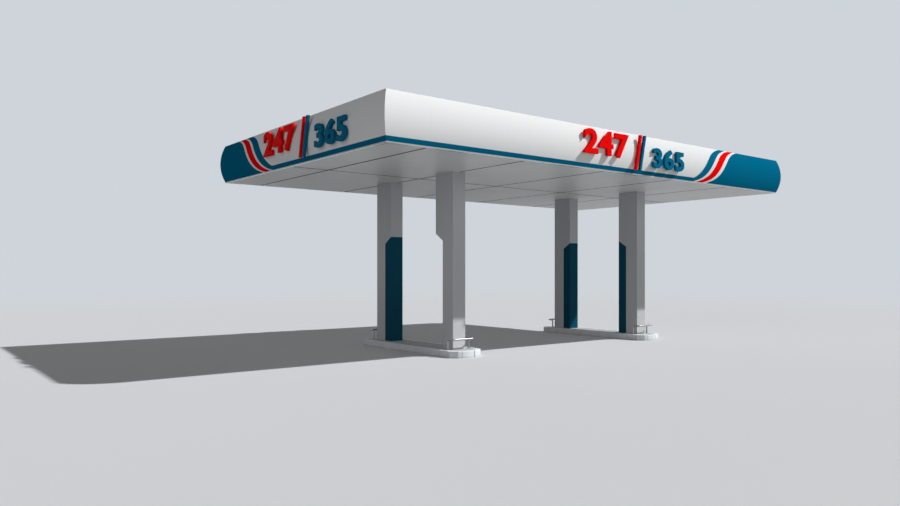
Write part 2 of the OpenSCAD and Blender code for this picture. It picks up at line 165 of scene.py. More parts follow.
class Effect(Enum):
    """The effects that more than one finish uses, and the names of their inputs."""

    BLOTCHES = ("Vector", "Size", "Sharpness")
    STREAKS = ("Vector", "Width", "Length")
    WAVES = ("Vector", "Size")
    JOINTS = ("Place", "Pitch", "Start", "Width")


class Effects:
    """Builds each shared effect once, as a node group with named inputs and one output."""

    FINER: ClassVar[float] = 6.3

    def __init__(self) -> None:
        """Starts with no group."""
        self.trees: dict[Effect, bpy.types.NodeTree] = {}

    def tree(self, kind: Effect) -> bpy.types.NodeTree:
        """Returns the group of an effect, built on first use.

        Args:
            kind: The effect.

        Returns:
            Its node group.
        """
        if kind not in self.trees:
            tree = bpy.data.node_groups.new(f"canopy_{kind.name.lower()}", "ShaderNodeTree")
            graph = Graph(tree)
            for name in kind.value:
                socket = "NodeSocketVector" if name == "Vector" else "NodeSocketFloat"
                tree.interface.new_socket(name, in_out="INPUT", socket_type=socket)
            tree.interface.new_socket("Mask", in_out="OUTPUT", socket_type="NodeSocketFloat")
            given = graph.add("NodeGroupInput").outputs
            graph.add("NodeGroupOutput", {0: getattr(self, kind.name.lower())(graph, given)})
            self.trees[kind] = tree
        return self.trees[kind]

    def blotches(self, graph: Graph, given: bpy.types.NodeOutputs) -> Socket:
        """Soft stains: wide noise, broken up by a finer one.

        Args:
            graph: The group's graph.
            given: The group's inputs.

        Returns:
            The mask.
        """
        wide = graph.math("DIVIDE", 1.0, given["Size"])
        fine = graph.math("MULTIPLY", wide, self.FINER)
        base = graph.noise(given["Vector"], wide, detail=3.0, roughness=0.6)
        broken = graph.noise(given["Vector"], fine, detail=4.0, roughness=0.65)
        mixed = graph.math("ADD", graph.math("MULTIPLY", base, 0.7), graph.math("MULTIPLY", broken, 0.3))
        centred = graph.math("SUBTRACT", mixed, 0.5)
        return graph.math("MULTIPLY_ADD", centred, given["Sharpness"], 0.5, clamp=True)

    def streaks(self, graph: Graph, given: bpy.types.NodeOutputs) -> Socket:
        """Marks of rain that ran down.

        Args:
            graph: The group's graph.
            given: The group's inputs.

        Returns:
            The mask.
        """
        wide = graph.math("DIVIDE", 1.0, given["Width"])
        tall = graph.math("DIVIDE", 1.0, given["Length"])
        scale = graph.add("ShaderNodeCombineXYZ", {0: wide, 1: wide, 2: tall}).outputs[0]
        scaled = graph.add("ShaderNodeVectorMath", {0: given["Vector"], 1: scale}, operation="MULTIPLY")
        lines = graph.noise(scaled.outputs[0], 1.0, detail=5.0, roughness=0.7)
        gate = graph.noise(given["Vector"], 0.9, detail=2.0, roughness=0.5)
        return graph.math("MULTIPLY", graph.spread(lines, 0.48, 0.72), graph.spread(gate, 0.35, 0.65))

    def waves(self, graph: Graph, given: bpy.types.NodeOutputs) -> Socket:
        """Even noise: slow waves of a thin sheet, or the fine grain of concrete."""
        scale = graph.math("DIVIDE", 1.0, given["Size"])
        return graph.noise(given["Vector"], scale, detail=1.0, roughness=0.3)

    def joints(self, graph: Graph, given: bpy.types.NodeOutputs) -> Socket:
        """Thin lines at even steps along one direction.

        Args:
            graph: The group's graph.
            given: The group's inputs.

        Returns:
            The mask.
        """
        steps = graph.math("DIVIDE", graph.math("SUBTRACT", given["Place"], given["Start"]), given["Pitch"])
        away = graph.math("MULTIPLY", graph.math("PINGPONG", steps, 0.5), given["Pitch"])
        return graph.math("LESS_THAN", away, graph.math("MULTIPLY", given["Width"], 0.5))


EFFECTS = Effects()


class Tones:
    """The colours of the canopy, as its surfaces are in plain light; a few hold painted shade or painted sky
    light, as marked.
    """

    WHITE = tone(238, 240, 240)
    TEAL = tone(0, 107, 142)
    INSERT = tone(16, 78, 101)
    RED = tone(250, 6, 8)
    COLUMN = tone(200, 203, 205)
    SOFFIT = tone(240, 241, 240)
    TRIM = tone(232, 233, 232)
    # Pale kerb with a blue tint that is painted sky light, for the bluish light in its shade
    KERB = tone(241, 246, 253)
    DECK = tone(200, 202, 202)
    ZINC = tone(186, 190, 194)
    TUBE = tone(136, 138, 141)
    PRIMER = tone(128, 132, 136)
    ROOF = tone(190, 193, 195)
    PIPE = tone(150, 152, 154)
    SOOT = tone(96, 92, 84)
    EARTH = tone(126, 118, 102)
    MORTAR = tone(74, 74, 72)
    # Painted shade: near-black on the turned edges of the soffit trays, in the joints between them
    JOINT = tone(26, 26, 27)
    # Painted shade: grey on the drip trim's vertical face
    DRIP = tone(172, 172, 170)
    BACK_COAT = tone(196, 198, 198)


@dataclass(frozen=True)
class Finish:
    """A surface finish; each kind of finish feeds the shader in its own way."""

    name: str
    color: Color

    def build(self) -> Material:
        """Makes the material.

        Returns:
            The material, which ends in a Principled shader.
        """
        material = bpy.data.materials.new(self.name)
        material.use_nodes = True
        graph = Graph(material.node_tree)
        shader = graph.add("ShaderNodeBsdfPrincipled", self.surface(graph, graph.place()))
        graph.end("ShaderNodeOutputMaterial", shader)
        return material

    def surface(self, graph: Graph, place: Socket) -> dict[str, Feed]:
        """Returns what feeds the shader."""
        raise NotImplementedError


@dataclass(frozen=True)
class SheetPaint(Finish):
    """Coated sheet metal with faint waves, stains and marks of rain.

    Attributes:
        gloss: Roughness of the coat.
        stains: How much the stains show.
        streaks: How much the marks of rain show.
        wave: Depth of the waves in metres.
        mirror: How strongly the coat mirrors.
    """

    gloss: float = 0.36
    stains: float = 0.10
    streaks: float = 0.14
    wave: float = 0.0012
    mirror: float = 0.3

    SWING: ClassVar[float] = 0.16
    CLEANER: ClassVar[float] = 0.05

    def base(self, graph: Graph, place: Socket) -> Feed:
        """Returns the clean colour of the sheet."""
        return self.color

    def surface(self, graph: Graph, place: Socket) -> dict[str, Feed]:
        """Lays stains and marks of rain over the sheet, which stains also make rougher.

        Args:
            graph: The material's graph.
            place: The place on the object.

        Returns:
            What feeds the shader.
        """
        blotch = graph.effect(Effect.BLOTCHES, place, Size=0.9, Sharpness=2.2)
        streak = graph.effect(Effect.STREAKS, place, Width=0.035, Length=1.4)
        wave = graph.effect(Effect.WAVES, place, Size=0.55)
        stained = graph.cover(blotch, self.stains, self.base(graph, place), Tones.EARTH)
        color = graph.cover(streak, self.streaks, stained, Tones.SOOT)
        rough = graph.math("MULTIPLY_ADD", blotch, self.SWING, self.gloss - self.CLEANER)
        return {"Base Color": color, "Roughness": rough, "Normal": graph.bump(wave, self.wave),
                "Specular IOR Level": self.mirror}


class Side(Enum):
    """The sides of the roof, with the direction that each one faces."""

    FRONT = (0, -1)
    BACK = (0, 1)
    LEFT = (-1, 0)
    RIGHT = (1, 0)

    @property
    def label(self) -> str:
        """The side's name in the names of pieces."""
        return self.name.lower()

    @property
    def outward(self) -> Vector:
        """The direction that the side faces."""
        return Vector((*self.value, 0.0))

    @property
    def along(self) -> Vector:
        """The direction from left to right for someone who looks at the side."""
        return UP.cross(self.outward)

    @property
    def solid_end(self) -> int:
        """1 if the painted stripes are at the right end of the side, and -1 if at its left end."""
        return 1 if self in (Side.FRONT, Side.BACK) else -1


@dataclass(frozen=True)
class Stripes:
    """Edges of the painted stripes of a side, along it from its solid end, at the middle of its height.

    Attributes:
        solid: Where the solid teal end stops.
        edges: Where the white, red, white and teal stripes that follow it stop, from there.
    """

    solid: float
    edges: tuple[float, float, float, float]


@dataclass(frozen=True)
class Arc:
    """The curve of a fascia, seen from its end.

    Attributes:
        foot: Distance of its foot from the middle of the roof.
        low: Height of its foot.
        high: Height of its top edge.
        bulge: How far its middle stands beyond its foot.
    """

    foot: float
    low: float
    high: float
    bulge: float

    @property
    def middle(self) -> float:
        """The height where the fascia bulges most."""
        return (self.low + self.high) / 2

    @property
    def radius(self) -> float:
        """The radius of the curve."""
        return ((self.high - self.low) ** 2 / 4 + self.bulge ** 2) / (2 * self.bulge)

    @property
    def axis(self) -> float:
        """The distance of the curve's axis from the middle of the roof."""
        return self.foot + self.bulge - self.radius

    def reach(self, height: float) -> float:
        """Returns the distance of the outer face from the middle of the roof, at a height."""
        return self.axis + math.sqrt(self.radius ** 2 - (height - self.middle) ** 2)


@dataclass(frozen=True, kw_only=True)
class BandedPaint(SheetPaint):
    """White sheet with a teal band at its foot and S-shaped stripes that pass into a solid teal end.

    The inner face of the sheet has the plain coat of its back.

    Attributes:
        side: The side of the roof.
        stripes: The stripes of this side.
        arc: The curve of the sheet.
        length: Length of the side in metres.
        soffit: Height of the soffit above the ground.
        band: Height of the band.
        pitch: Length of one sheet.
        seam: Width of the seam between two sheets.
        seam_shade: How dark a seam is.
        thickness: Thickness of the sheet.
    """

    side: Side
    stripes: Stripes
    arc: Arc
    length: float
    soffit: float
    band: float = 0.13
    pitch: float = 2.94
    seam: float = 0.003
    seam_shade: float = 0.2
    thickness: float = 0.005

    # The S of the stripes: a straight lean, and sweeps at foot and head that fade away from them
    LEAN: ClassVar[float] = 0.76
    FOOT_SWEEP: ClassVar[float] = 0.588
    FOOT_FADE: ClassVar[float] = 0.13
    HEAD_SWEEP: ClassVar[float] = 0.42
    HEAD_FADE: ClassVar[float] = 0.1075

    def swing(self, graph: Graph, rise: Socket) -> Socket:
        """Returns how far the stripes have moved along the side at a height.

        Args:
            graph: The material's graph.
            rise: The height above the soffit.

        Returns:
            The distance along the side, 0 at the middle of the height.
        """
        height = self.arc.high - self.soffit
        lean = graph.math("MULTIPLY_ADD", rise, -self.LEAN, self.LEAN * height / 2)
        low = graph.math("EXPONENT", graph.math("DIVIDE", rise, -self.FOOT_FADE))
        left = graph.math("SUBTRACT", rise, height)
        high = graph.math("EXPONENT", graph.math("DIVIDE", left, self.HEAD_FADE))
        swept = graph.math("MULTIPLY_ADD", low, self.FOOT_SWEEP, lean)
        return graph.math("MULTIPLY_ADD", high, -self.HEAD_SWEEP, swept)

    def outside(self, graph: Graph, place: Socket) -> Socket:
        """Returns 1 on the outer face of the sheet and 0 on its inner face.

        Args:
            graph: The material's graph.
            place: The place on the object.

        Returns:
            The mask.
        """
        out = graph.math("SUBTRACT", graph.along(place, self.side.outward), self.arc.axis)
        up = graph.math("SUBTRACT", graph.height(place), self.arc.middle)
        square = graph.math("MULTIPLY_ADD", out, out, graph.math("MULTIPLY", up, up))
        return graph.math("GREATER_THAN", graph.math("SQRT", square), self.arc.radius - self.thickness / 2)

    def base(self, graph: Graph, place: Socket) -> Feed:
        """Paints the band and the stripes.

        Args:
            graph: The material's graph.
            place: The place on the object.

        Returns:
            The colour of the painted sheet.
        """
        rise = graph.math("SUBTRACT", graph.height(place), self.soffit)
        run = graph.along(place, self.side.along * self.side.solid_end)
        from_end = graph.math("SUBTRACT", self.length / 2, run)
        straight = graph.math("SUBTRACT", from_end, self.swing(graph, rise))
        color = graph.blend(graph.math("LESS_THAN", rise, self.band), self.color, Tones.TEAL)
        ends = [self.stripes.solid + edge for edge in (*reversed(self.stripes.edges), 0.0)]
        for end, paint in zip(ends, (Tones.TEAL, self.color, Tones.RED, self.color, Tones.TEAL)):
            color = graph.blend(graph.math("LESS_THAN", straight, end), color, paint)
        seam = graph.effect(Effect.JOINTS, from_end, Pitch=self.pitch, Start=0.0, Width=self.seam)
        sheet = graph.cover(seam, self.seam_shade, color, Tones.SOOT)
        return graph.blend(self.outside(graph, place), Tones.BACK_COAT, sheet)


@dataclass(frozen=True, kw_only=True)
class TraySheet(SheetPaint):
    """Pale sheet of the soffit, with painted shade where it turns up from its lower face.

    Attributes:
        level: Height of the soffit above the ground.
        skin: How far the pale face reaches up the turned edges before the painted shade starts.
        turned: Colour of the turned edges: painted shade, near-black in the joints between the trays and grey
            on the drip trim's vertical face.
    """

    level: float
    skin: float = 0.0002
    # By default the turned edges take the near-black painted shade of the tray joints
    turned: Color = Tones.JOINT

    def base(self, graph: Graph, place: Socket) -> Feed:
        """Returns the pale sheet, with painted shade on its turned edges."""
        # Faces above the lower face and its skin get the painted shade
        higher = graph.math("GREATER_THAN", graph.height(place), self.level + self.skin)
        return graph.blend(higher, self.color, self.turned)


@dataclass(frozen=True, kw_only=True)
class Concrete(Finish):
    """Cast concrete with fine grain, stains and dirt near the ground.

    Attributes:
        grain: Size of the grain in metres.
        rough: Depth of the surface in metres.
        stains: How much the stains show.
        dirt: Height up to which dirt lies, in metres.
        speckle: How much the darker grain shows.
    """

    grain: float = 0.006
    rough: float = 0.0015
    stains: float
    dirt: float = 0.06
    speckle: float = 0.4

    def surface(self, graph: Graph, place: Socket) -> dict[str, Feed]:
        """Lays grain, stains and dirt over the concrete.

        Args:
            graph: The material's graph.
            place: The place on the object.

        Returns:
            What feeds the shader.
        """
        grain = graph.effect(Effect.WAVES, place, Size=self.grain)
        blotch = graph.effect(Effect.BLOTCHES, place, Size=0.5, Sharpness=2.6)
        speckled = graph.blend(graph.spread(grain, 0.25, 0.8, 0.0, self.speckle), self.color, Tones.EARTH)
        stained = graph.cover(blotch, self.stains, speckled, Tones.SOOT)
        low = graph.spread(graph.height(place), self.dirt, 0.0, 0.0, 0.6)
        return {"Base Color": graph.cover(low, blotch, stained, Tones.EARTH),
                "Roughness": graph.spread(grain, 0.0, 1.0, 0.72, 0.95),
                "Normal": graph.bump(grain, self.rough), "Specular IOR Level": 0.3}


@dataclass(frozen=True)
class Galvanised(Finish):
    """Zinc with its crystals, dulled by the weather.

    Attributes:
        crystal: Size of a crystal in metres.
        shine: How metallic the surface still is.
        gloss: Roughness of the smoothest crystals.
    """

    crystal: float = 0.012
    shine: float = 0.75
    gloss: float = 0.38

    DULL: ClassVar[float] = 0.35
    PALE: ClassVar[float] = 0.25
    SWING: ClassVar[float] = 0.16

    def surface(self, graph: Graph, place: Socket) -> dict[str, Feed]:
        """Gives each crystal its tone and gloss, and dulls the zinc in places.

        Args:
            graph: The material's graph.
            place: The place on the object.

        Returns:
            What feeds the shader.
        """
        cells = graph.add("ShaderNodeTexVoronoi", {"Vector": place, "Scale": 1.0 / self.crystal})
        shade = graph.add("ShaderNodeSeparateColor", {0: cells.outputs["Color"]}).outputs[0]
        blotch = graph.effect(Effect.BLOTCHES, place, Size=0.3, Sharpness=2.0)
        dull = graph.cover(blotch, self.DULL, self.color, Tones.PRIMER)
        return {"Base Color": graph.cover(shade, self.PALE, dull, Tones.TRIM),
                "Roughness": graph.math("MULTIPLY_ADD", shade, self.SWING, self.gloss),
                "Metallic": self.shine}


@dataclass(frozen=True)
class RoofSheet(SheetPaint):
    """Coated ribbed sheet with dust in its valleys.

    Attributes:
        valley: Height of the valleys above the ground in metres.
        rib: Height of the ribs in metres.
        cover: Width that one sheet covers in metres.
        first_lap: Place of a lap along the roof.
        lap: Width of the dark edge where two sheets lap.
        lap_shade: How dark it is.
    """

    valley: float = 5.6
    rib: float = 0.045
    cover: float = 1.0
    first_lap: float = 0.155
    lap: float = 0.006
    lap_shade: float = 0.55

    def base(self, graph: Graph, place: Socket) -> Feed:
        """Lays dust where water stands, and darkens the laps.

        Args:
            graph: The material's graph.
            place: The place on the object.

        Returns:
            The colour of the sheet.
        """
        low = graph.spread(graph.height(place), self.valley, self.valley + self.rib, 0.45, 0.05)
        dust = graph.effect(Effect.BLOTCHES, place, Size=0.4, Sharpness=2.4)
        lap = graph.effect(Effect.JOINTS, graph.along(place, RIGHT), Pitch=self.cover,
                           Start=self.first_lap, Width=self.lap)
        dusty = graph.cover(low, dust, self.color, Tones.EARTH)
        return graph.cover(lap, self.lap_shade, dusty, Tones.SOOT)


def linked(name: str, data: bpy.types.ID) -> bpy.types.Object:
    """Makes an object in the scene.

    Args:
        name: Its name.
        data: Its data.

    Returns:
        The object.
    """
    made = bpy.data.objects.new(name, data)
    bpy.context.scene.collection.objects.link(made)
    return made


def baked(holder: bpy.types.Object) -> bpy.types.Mesh:
    """Turns what an object shows into a plain mesh, and removes the object.

    Args:
        holder: The object.

    Returns:
        The mesh.
    """
    graph = bpy.context.evaluated_depsgraph_get()
    mesh = bpy.data.meshes.new_from_object(holder.evaluated_get(graph))
    holder.modifiers.clear()
    bpy.data.objects.remove(holder)
    return mesh


def settle(name: str, mesh: bpy.types.Mesh, slot: str) -> bpy.types.Object:
    """Makes a piece, which rides on the canopy.

    Args:
        name: Its name.
        mesh: Its mesh, which holds its place.
        slot: Not used.

    Returns:
        The piece.
    """
    mesh.name = name
    piece = linked(name, mesh)
    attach(piece, BODY)
    LOG.info("%s: %d faces", name, len(mesh.polygons))
    return piece


def dress(names: Iterable[str], material: Material) -> None:
    """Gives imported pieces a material.

    Args:
        names: The names of the pieces.
        material: The material.
    """
    for name in names:
        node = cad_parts[name]
        node.data.materials.clear()
        node.data.materials.append(material)
        LOG.info("%s: %s", name, material.name)


def points(name: str) -> list[Vector]:
    """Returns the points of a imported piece."""
    return [vertex.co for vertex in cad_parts[name].data.vertices]


def stations(places: Iterable[float], reach: float) -> list[float]:
    """Finds where separate pieces stand along a line.

    Args:
        places: The places of their points on the line.
        reach: Points nearer to each other than this belong to one piece.

    Returns:
        The middle of each piece.
    """
    groups: list[list[float]] = []
    for place in sorted(places):
        if not groups or place - groups[-1][-1] > reach:
            groups.append([])
        groups[-1].append(place)
    return [(group[0] + group[-1]) / 2 for group in groups]


def facing(point: Vector, outward: Vector, along: Vector) -> Matrix:
    """Returns the place of something flat.

    Args:
        point: Its middle.
        outward: The direction that it faces, its own +Z.
        along: The direction of its own +X.

    Returns:
        The matrix.
    """
    turn = Matrix((along, outward.cross(along), outward)).transposed()
    return Matrix.Translation(point) @ turn.to_4x4()


class Mesh:
    """A mesh that is being built of swept bodies and becomes one piece of the canopy."""

    ROD_SIDES: ClassVar[int] = 10

    def __init__(self, name: str) -> None:
        """Starts an empty mesh.

        Args:
            name: The name of the piece that it becomes.
        """
        self.name = name
        self.points: list[Vector] = []
        self.faces: list[tuple[int, ...]] = []
        self.marks: list[int] = []

    def sweep(self, rings: Sequence[Sequence[Vector]], mark: int = 0) -> None:
        """Joins rings of points into a body with a cap at either end.

        Args:
            rings: The rings, each with the same number of points.
            mark: The number of its material.
        """
        first, count = len(self.points), len(rings[0])
        last = first + (len(rings) - 1) * count
        faces = [(a + k, a + count + k, a + count + (k + 1) % count, a + (k + 1) % count)
                 for a in range(first, last, count) for k in range(count)]
        faces += [tuple(range(first, first + count)), tuple(reversed(range(last, last + count)))]
        self.points += [point for ring in rings for point in ring]
        self.faces += faces
        self.marks += [mark] * len(faces)

    def rod(self, start: Vector, end: Vector, radius: float) -> None:
        """Adds a round rod.

        Args:
            start: The middle of its first end.
            end: The middle of its other end.
            radius: Its radius.
        """
        turn = (end - start).to_track_quat("Z", "Y").to_matrix()
        angles = [2 * math.pi * k / self.ROD_SIDES for k in range(self.ROD_SIDES)]
        circle = [turn @ Vector((radius * math.cos(a), radius * math.sin(a), 0)) for a in angles]
        self.sweep([[start + p for p in circle], [end + p for p in circle]])

    def plain(self) -> bpy.types.Mesh:
        """Makes a plain mesh.

        Returns:
            The mesh.
        """
        mesh = bpy.data.meshes.new(self.name)
        mesh.from_pydata(self.points, [], self.faces)
        return mesh

    def finish(self, materials: Sequence[Material], slot: str,
               smooth_angle: float) -> bpy.types.Object:
        """Makes the piece, which rides on the canopy.

        Args:
            materials: Its materials, in the order of their numbers.
            slot: A slot name, which it passes on to settle.
            smooth_angle: Edges flatter than this, in degrees, are shaded round.

        Returns:
            The piece.
        """
        mesh = self.plain()
        for material in materials:
            mesh.materials.append(material)
        for polygon, mark in zip(mesh.polygons, self.marks):
            polygon.material_index = mark
        work = bmesh.new()
        work.from_mesh(mesh)
        bmesh.ops.recalc_face_normals(work, faces=work.faces)
        for edge in work.edges:
            sharp = len(edge.link_faces) != 2 or edge.calc_face_angle(0.0) > math.radians(smooth_angle)
            edge.smooth = not sharp
        work.to_mesh(mesh)
        work.free()
        mesh.shade_smooth()
        return settle(self.name, mesh, slot)


@dataclass(frozen=True)
class Fixing:
    """A screw, bolt or rivet.

    Attributes:
        radius: Radius of its head.
        height: Height of its head.
        washer: Radius of its washer.
        washer_height: Height of its washer.
        sides: Sides of its head.
        material: Its material.
    """

    radius: float
    height: float
    washer: float
    washer_height: float
    sides: int
    material: Material


@dataclass(frozen=True)
class Grid:
    """A grid of fixings.

    Attributes:
        columns: How many stand along its own X.
        rows: How many stand along its own Y.
        length: Distance from the first to the last column.
        width: Distance from the first to the last row.
        place: Where the grid's middle is and how it is turned.
    """

    columns: int
    rows: int
    length: float
    width: float
    place: Matrix


class Fixings:
    """Screws and rivets in rows, made by one Geometry Nodes tree and baked into plain meshes."""

    SEED: ClassVar[int] = 7
    WASHER_SIDES: ClassVar[int] = 12
    INPUTS: ClassVar[dict[str, Sequence[str]]] = {
        "Int": ("Columns", "Rows", "Head Sides", "Seed"),
        "Float": ("Length", "Width", "Head Radius", "Head Height", "Washer Radius", "Washer Height"),
        "Material": ("Material",),
    }

    def __init__(self) -> None:
        """Builds a tree that sets a head on a washer at each point of a grid."""
        self.tree = bpy.data.node_groups.new("canopy_fixings", "GeometryNodeTree")
        graph = Graph(self.tree)
        for kind, names in self.INPUTS.items():
            for name in names:
                self.tree.interface.new_socket(name, in_out="INPUT", socket_type=f"NodeSocket{kind}")
        self.tree.interface.new_socket("Geometry", in_out="OUTPUT", socket_type="NodeSocketGeometry")
        given = graph.add("NodeGroupInput").outputs
        sizes = {"Size X": given["Length"], "Size Y": given["Width"],
                 "Vertices X": given["Columns"], "Vertices Y": given["Rows"]}
        grid = graph.add("GeometryNodeMeshGrid", sizes)
        washer = self.disc(graph, self.WASHER_SIDES, given["Washer Radius"], given["Washer Height"], 0.0)
        head = self.disc(graph, given["Head Sides"], given["Head Radius"], given["Head Height"],
                         given["Washer Height"])
        both = graph.add("GeometryNodeJoinGeometry")
        for part in (washer, head):
            self.tree.links.new(part, both.inputs[0])
        turn = graph.add("FunctionNodeRandomValue", {3: math.tau, 8: given["Seed"]}, data_type="FLOAT")
        spin = graph.add("ShaderNodeCombineXYZ", {2: turn.outputs[1]}).outputs[0]
        placed = graph.add("GeometryNodeInstanceOnPoints", {"Points": grid.outputs["Mesh"],
                                                            "Instance": both.outputs[0], "Rotation": spin})
        real = graph.add("GeometryNodeRealizeInstances", {0: placed.outputs[0]}).outputs[0]
        painted = graph.add("GeometryNodeSetMaterial", {"Geometry": real, "Material": given["Material"]})
        graph.end("NodeGroupOutput", painted)

    @staticmethod
    def disc(graph: Graph, sides: Feed, radius: Socket, height: Socket, base: Feed) -> Socket:
        """Adds a flat cylinder that stands on a height.

        Args:
            graph: The tree's graph.
            sides: How many sides it has.
            radius: Its radius.
            height: Its height.
            base: The height that it stands on.

        Returns:
            Its geometry.
        """
        body = graph.add("GeometryNodeMeshCylinder", {"Vertices": sides, "Radius": radius, "Depth": height})
        lift = graph.add("ShaderNodeCombineXYZ", {2: graph.math("MULTIPLY_ADD", height, 0.5, base)})
        moved = graph.add("GeometryNodeTransform", {"Geometry": body.outputs["Mesh"],
                                                    "Translation": lift.outputs[0]})
        return moved.outputs[0]

    def rows(self, kind: Fixing, grid: Grid) -> bpy.types.Mesh:
        """Makes a grid of fixings in its place.

        Args:
            kind: The fixing.
            grid: The grid.

        Returns:
            The mesh, in which all instances are real.
        """
        holder = linked("fixings_holder", bpy.data.meshes.new("fixings_holder"))
        modifier = holder.modifiers.new("fixings", "NODES")
        modifier.node_group = self.tree
        values = {"Columns": grid.columns, "Rows": grid.rows, "Length": grid.length, "Width": grid.width,
                  "Head Sides": kind.sides, "Head Radius": kind.radius, "Head Height": kind.height,
                  "Washer Radius": kind.washer, "Washer Height": kind.washer_height,
                  "Seed": self.SEED, "Material": kind.material}
        for item in self.tree.interface.items_tree:
            if item.in_out == "INPUT":
                modifier[item.identifier] = values[item.name]
        mesh = baked(holder)
        mesh.transform(grid.place)
        return mesh

    def piece(self, name: str, kind: Fixing, grids: Iterable[Grid], slot: str) -> None:
        """Makes one piece of several grids of fixings.

        Args:
            name: The piece's name.
            kind: The fixing.
            grids: The grids.
            slot: A slot name, which it passes on to settle.
        """
        work = bmesh.new()
        for grid in grids:
            mesh = self.rows(kind, grid)
            work.from_mesh(mesh)
            bpy.data.meshes.remove(mesh)
        whole = bpy.data.meshes.new(name)
        work.to_mesh(whole)
        work.free()
        whole.materials.append(kind.material)
        settle(name, whole, slot)


class Loop:
    """A closed outline: its points, each with the vector that offsets the outline by 1 there.

    At an arris the vector is longer than 1, so that the offset faces stay parallel to the outline.
    """

    CLEAR: ClassVar[float] = 0.001

    def __init__(self, outline: Outline) -> None:
        """Measures the way to each point and all round.

        Args:
            outline: The points once round, with their vectors.
        """
        self.outline = outline
        self.ways = [0.0]
        for (a, _), (b, _) in zip(outline, outline[1:] + outline[:1]):
            self.ways.append(self.ways[-1] + (b - a).length)
        self.whole = self.ways[-1]

    def at(self, way: float) -> tuple[Vector, Vector]:
        """Finds a place on the outline.

        Args:
            way: How far along the outline it is.

        Returns:
            The point and its vector.
        """
        way %= self.whole
        index = max(i for i, s in enumerate(self.ways[:-1]) if s <= way)
        (a, na), (b, nb) = self.outline[index], self.outline[(index + 1) % len(self.outline)]
        share = (way - self.ways[index]) / (self.ways[index + 1] - self.ways[index])
        return a.lerp(b, share), na.lerp(nb, share)

    def stretch(self, start: float, end: float) -> Outline:
        """Finds the points along a stretch of the outline.

        Args:
            start: How far along the outline it starts.
            end: How far along it ends, which may be past the whole length.

        Returns:
            The points and their vectors.
        """
        turns = [s + turn * self.whole for turn in (-1, 0, 1) for s in self.ways[:-1]]
        inner = [s for s in turns if start + self.CLEAR < s < end - self.CLEAR]
        return [self.at(s) for s in (start, *inner, end)]

    def rings(self, start: float, end: float, section: Iterable[tuple[float, float]]) -> list[list[Vector]]:
        """Carries a section along a stretch of the outline.

        Args:
            start: How far along the outline it starts.
            end: How far along it ends.
            section: Its points as distance behind the outline and height.

        Returns:
            The section at each point of the stretch.
        """
        return [[Vector((point.x - way.x * inset, point.y - way.y * inset, height))
                 for inset, height in section] for point, way in self.stretch(start, end)]


